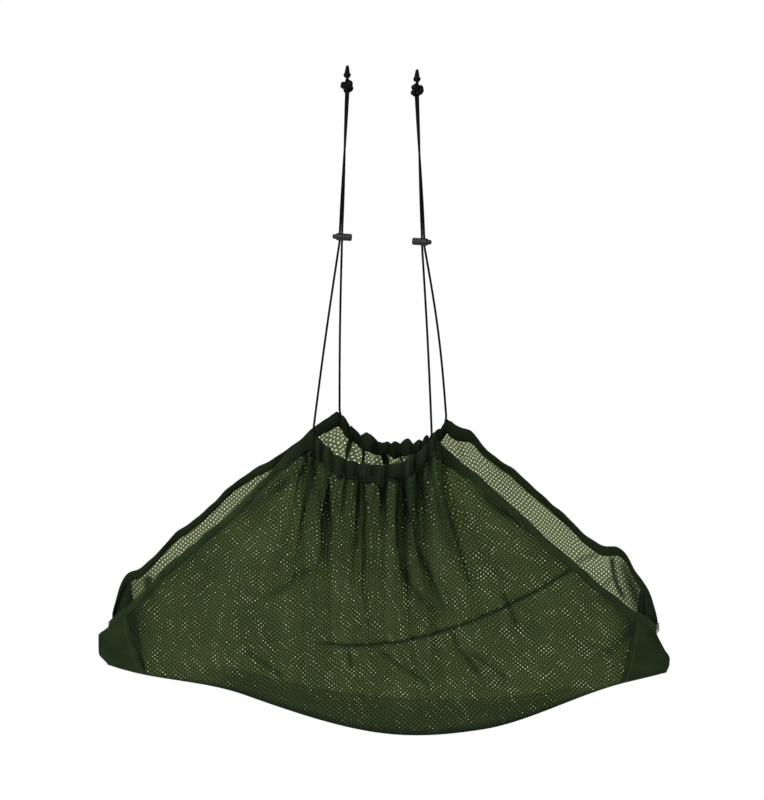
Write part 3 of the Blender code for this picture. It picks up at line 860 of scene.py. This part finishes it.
# ---------------------------------------------------------------- cords
def cord_leg(side, way):
    """Half of a cord's free run: down from the knot, through the lock, to the hem's opening."""
    lead = 1 if side == "front" else -1
    share = np.linspace(0, 1, 60)
    z = EYE_Z + 0.003 + (LOCK_Z + LOCK_STRAIGHT - EYE_Z - 0.003) * share
    x = way * (EYE_X + (LOCK_X - EYE_X) * np.clip(z / LOCK_Z, 0, 1))
    apart = STRAND_OFFSET - STRAND_SQUEEZE * np.sin(np.pi * share) ** 0.3
    x = x + lead * apart * np.cos(np.pi * share)
    y = -lead * apart * np.sin(np.pi * share)
    twist = np.stack([x, y, z], axis=1)
    lock_x = way * LOCK_X - lead * STRAND_OFFSET
    start = np.array([lock_x, 0, LOCK_Z - LOCK_STRAIGHT])
    leave = hem_top(side, way * (SIDES[side]["exit_x"] - 0.0012)) + [0, 0, 0.003]
    t = np.linspace(0, 1, 40)[:, None]
    run = start + (leave - start) * t
    bow = 0.004 * np.sin(np.pi * t[:, 0])
    run[:, 0] += way * bow * (1 if side == "back" and way > 0 else 0.25)
    return np.concatenate([twist, [[lock_x, 0, LOCK_Z]], run])


def cord_path(side):
    """Centre line of one drawcord, from the left knot through the hem to the right knot."""
    s = SIDES[side]
    reach = s["exit_x"] - 0.0035
    x = np.linspace(-reach, reach, 41)
    share = np.abs(x) / s["exit_x"]
    z = s["low_z"] + (s["exit_z"] - s["low_z"]) * share ** 3
    depth = s["mid_depth"] + (s["exit_depth"] - s["mid_depth"]) * share ** 2
    drop = 0.0075 - 0.0035 * smooth((share - 0.8) / 0.2)
    inside = np.stack([x, s["sign"] * depth, z - drop], axis=1)
    return soften(np.concatenate([cord_leg(side, -1), inside, cord_leg(side, 1)[::-1]]), 2)


def build_cord(side):
    """One drawcord, with its centre line and its length."""
    path = cord_path(side)
    cord = sweep(side + "_drawcord", path, CORD_R, 12)
    dress(cord, CORD)
    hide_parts(side + "_cord")
    length = float(np.linalg.norm(np.diff(path, axis=0), axis=1).sum())
    return cord, path, length


def knot_path(wide, deep, count=160):
    """A tied overhand knot's line: a trefoil seen face on."""
    t = np.linspace(0, 2 * np.pi, count, endpoint=False)
    x = (np.sin(t) + 2 * np.sin(2 * t)) * wide / 3
    z = (np.cos(t) - 2 * np.cos(2 * t)) * wide / 3
    y = -np.sin(3 * t) * deep
    return np.stack([x, y, z], axis=1)


def tied_knot(name, centre, wide, deep, strand, turn):
    """Two strands run side by side round an overhand knot, over a tight core."""
    line = knot_path(wide, deep)
    line = np.concatenate([line, line[:1]])
    ahead = np.gradient(line, axis=0)
    ahead[0] = ahead[-1] = line[1] - line[-2]
    ahead /= np.linalg.norm(ahead, axis=1)[:, None]
    outward = line / np.linalg.norm(line, axis=1)[:, None]
    beside = np.cross(ahead, outward)
    beside /= np.linalg.norm(beside, axis=1)[:, None]
    spin = np.array(Matrix.Rotation(turn, 3, "Y"))
    parts = []
    for way in (-1, 1):
        path = (line + way * strand * 0.85 * beside) @ spin.T + centre
        parts.append(sweep(name, path, strand, 12, caps=False))
    core = bpy.data.meshes.new(name)
    bm = bmesh.new()
    bmesh.ops.create_icosphere(bm, subdivisions=3, radius=wide * 0.86)
    for vert in bm.verts:
        vert.co = Vector((vert.co.x, vert.co.y * 0.8, vert.co.z)) + Vector(centre)
    bm.loops.layers.uv.new("cloth")
    bm.to_mesh(core)
    bm.free()
    core.shade_smooth()
    ball = bpy.data.objects.new(name, core)
    bpy.context.scene.collection.objects.link(ball)
    parts.append(ball)
    return join(name, parts)


def build_knot(label, way):
    """The overhand knot that ties the two cords together, and the whipped ends above it."""
    centre = np.array([way * EYE_X, 0, EYE_Z + 0.0003 + KNOT_R])
    knot = tied_knot(label + "_tied_knot", centre, 0.0071, 0.0046, 0.0020, 0.4 * way)
    dress(knot, CORD)
    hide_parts(label + "_knot")
    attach(knot, "sling")

    small = np.array([way * EYE_X, 0, 0.0246])
    parts = [tied_knot(label + "_tail_knot", small, 0.0034, 0.0026, 0.0013, 1.1)]
    share = np.linspace(0, 1, 60)
    for side in (-1, 1):
        z = 0.0150 + 0.0080 * share
        x = way * EYE_X + side * 0.0013 * np.cos(3.0 * share)
        y = side * 0.0013 * np.sin(3.0 * share)
        parts.append(sweep("neck", np.stack([x, y, z], axis=1), 0.0016, 12))
    z = 0.0262 + 0.0119 * share
    radius = 0.0036 - 0.0021 * share + 0.00045 * np.abs(np.sin(share * np.pi * 5))
    radius *= np.clip((1 - share) * 9, 0.35, 1)
    line = np.stack([way * EYE_X + 0.0004 * share, 0 * z, z], axis=1)
    parts.append(sweep("tip", line, radius, 16))
    tail = join(label + "_whipped_tail", parts)
    dress(tail, CORD)
    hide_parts(label + "_tail")
    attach(tail, "sling")
    return knot, tail


# ---------------------------------------------------------------- locks and tacks
def build_spring(label, way):
    """Coil behind the plunger; on the real lock its outer end moves with the plunger and its inner end
    stays, here it is drawn fixed.
    """
    share = np.linspace(0, 1, 24 * SPRING_TURNS + 1)
    turn = 2 * np.pi * SPRING_TURNS * share
    x = way * (LOCK_X - SPRING_OUTER - (SPRING_INNER - SPRING_OUTER) * share)
    y = SPRING_R * np.cos(turn)
    z = LOCK_Z + SPRING_R * np.sin(turn)
    spring = sweep(label + "_spring", np.stack([x, y, z], axis=1), SPRING_WIRE_R, 8)
    dress(spring, STEEL)
    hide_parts(label + "_lock_spring")
    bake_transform(spring)


def finish_locks():
    """The CAD barrels and plungers keep their shape and take the plastic material."""
    for label in ("left", "right"):
        for node in ("barrel", "plunger"):
            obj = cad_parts[label + "_lock_" + node]
            obj.data.materials.clear()
            obj.data.materials.append(PLASTIC)


def build_tack(label, way):
    """A few turns of thread over the ends of the two hems."""
    z0 = JOIN_Z + float(lift(way * JOIN_X)) - 0.0088
    parts = []
    for k in range(5):
        t = np.linspace(0, 2 * np.pi, 40)
        x = way * (JOIN_X + 0.0016 + 0.0011 * np.cos(t))
        y = 0.0078 * np.sin(t)
        z = np.full_like(t, z0 + (k - 2) * 0.0024)
        parts.append(sweep("turn", np.stack([x, y, z], axis=1), 0.0005, 8, caps=False))
    tack = join(label + "_bar_tack", parts)
    dress(tack, THREAD)
    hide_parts(label + "_tack")
    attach(tack, "sling")
    return tack


# ---------------------------------------------------------------- assemble
front_net = build_panel("front")
back_net = build_panel("back")
front_hem = build_hem("front")
back_hem = build_hem("back")
for label, direction in (("left", -1), ("right", 1)):
    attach(build_gusset(label, direction), "sling")
    build_tack(label, direction)
    build_knot(label, direction)
    build_spring(label, direction)
finish_locks()

for side, net, hem in (("front", front_net, front_hem), ("back", back_net, back_hem)):
    if side == "front":
        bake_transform(net)
        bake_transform(hem)
    else:
        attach(net, "sling")
        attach(hem, "sling")

for side in SIDES:
    cord, path, length = build_cord(side)
    if side == "front":
        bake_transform(cord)
    else:
        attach(cord, "sling")


# ---------------------------------------------------------------- stage, light and camera
def build_stage():
    """Wide floor that the camera sees as plain white."""
    mesh = bpy.data.meshes.new("floor")
    bm = bmesh.new()
    bmesh.ops.create_circle(bm, cap_ends=True, segments=96, radius=30)
    bm.to_mesh(mesh)
    bm.free()
    floor = bpy.data.objects.new("floor", mesh)
    floor.location = (0, 0, FLOOR_Z)
    bpy.context.scene.collection.objects.link(floor)
    white = bpy.data.materials.new("floor_white")
    white.use_nodes = True
    shader = white.node_tree.nodes["Principled BSDF"]
    shader.inputs["Base Color"].default_value = (0.93, 0.93, 0.93, 1)
    shader.inputs["Roughness"].default_value = 1.0
    shader.inputs["Specular IOR Level"].default_value = 0.0
    tree = white.node_tree
    bright = tree.nodes.new("ShaderNodeEmission")
    seen = tree.nodes.new("ShaderNodeLightPath")
    mix = tree.nodes.new("ShaderNodeMixShader")
    tree.links.new(seen.outputs["Is Camera Ray"], mix.inputs[0])
    tree.links.new(shader.outputs[0], mix.inputs[1])
    tree.links.new(bright.outputs[0], mix.inputs[2])
    tree.links.new(mix.outputs[0], tree.nodes["Material Output"].inputs["Surface"])
    mesh.materials.append(white)


def area_light(name, place, aim, size, power):
    """Round soft light turned towards a point."""
    data = bpy.data.lights.new(name, "AREA")
    data.shape = "DISK"
    data.size = size
    data.energy = power
    light = bpy.data.objects.new(name, data)
    light.location = place
    light.rotation_euler = (Vector(aim) - Vector(place)).to_track_quat("-Z", "Y").to_euler()
    bpy.context.scene.collection.objects.link(light)


def build_light():
    """Key and top light, and a sky that lights less than it shows."""
    world = bpy.data.worlds.new("studio")
    world.use_nodes = True
    tree = world.node_tree
    sky = tree.nodes["Background"]
    sky.inputs["Color"].default_value = (1, 1, 1, 1)
    seen = tree.nodes.new("ShaderNodeLightPath")
    level = tree.nodes.new("ShaderNodeMapRange")
    level.inputs["To Min"].default_value = AMBIENT
    level.inputs["To Max"].default_value = 1.0
    tree.links.new(seen.outputs["Is Camera Ray"], level.inputs["Value"])
    tree.links.new(level.outputs[0], sky.inputs["Strength"])
    bpy.context.scene.world = world
    area_light("key", (-1.6, -2.6, 1.3), (0, 0, -0.6), 1.0, 95)
    area_light("top", (0.3, -0.4, 2.2), (0, 0, -0.6), 1.6, 40)
    bpy.context.scene.view_settings.view_transform = "Standard"


def build_camera():
    """Long lens a little to the right of the bag and above it."""
    sa, ca = math.sin(VIEW_AZIMUTH), math.cos(VIEW_AZIMUTH)
    se, ce = math.sin(VIEW_ELEVATION), math.cos(VIEW_ELEVATION)
    back = Vector((sa * ce, -ca * ce, se))
    up = Vector((-sa * se, ca * se, ce))
    distance = FRAME_HEIGHT / SENSOR * LENS
    data = bpy.data.cameras.new("camera")
    data.lens = LENS
    data.sensor_width = SENSOR
    camera = bpy.data.objects.new("camera", data)
    camera.location = up * -AIM_DOWN + back * distance
    camera.rotation_euler = (-back).to_track_quat("-Z", "Y").to_euler()
    bpy.context.scene.collection.objects.link(camera)
    bpy.context.scene.camera = camera


build_stage()
build_light()
build_camera()
